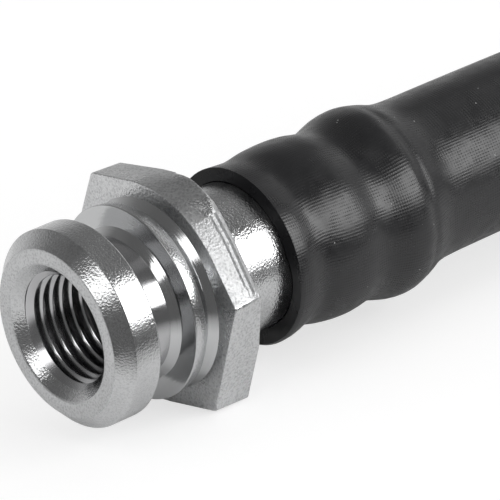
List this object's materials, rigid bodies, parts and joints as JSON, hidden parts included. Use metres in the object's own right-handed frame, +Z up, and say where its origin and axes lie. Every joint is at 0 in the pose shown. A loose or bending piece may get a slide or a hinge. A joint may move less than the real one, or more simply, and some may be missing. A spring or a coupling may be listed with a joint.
{
  "type": "brake hose",
  "caption": "Flexible brake hose in a black rubber sleeve, with a plated steel female port, clip groove and hexagon at each end, lying in a wide U.",
  "frame": {"origin": "on the surface the hose lies on, under the middle of the near fitting", "axes": "+X along the near fitting from its port's face towards the hose, +Z up, so both ports face -X"},
  "size_m": [0.1631, 0.1424, 0.019],
  "materials": {
    "plated_steel": "bright zinc plating, grainy on the forged hexagon",
    "nipple_steel": "turned, unplated",
    "sleeve_rubber": "matt black with a faint cloth impression",
    "hose_rubber": "matt black"
  },
  "bodies": {
    "root": {"near_fitting": "plated_steel", "far_fitting": "plated_steel", "near_nipple": "nipple_steel", "far_nipple": "nipple_steel", "protective_sleeve": "sleeve_rubber", "brake_hose": "hose_rubber"}
  },
  "joints": []
}
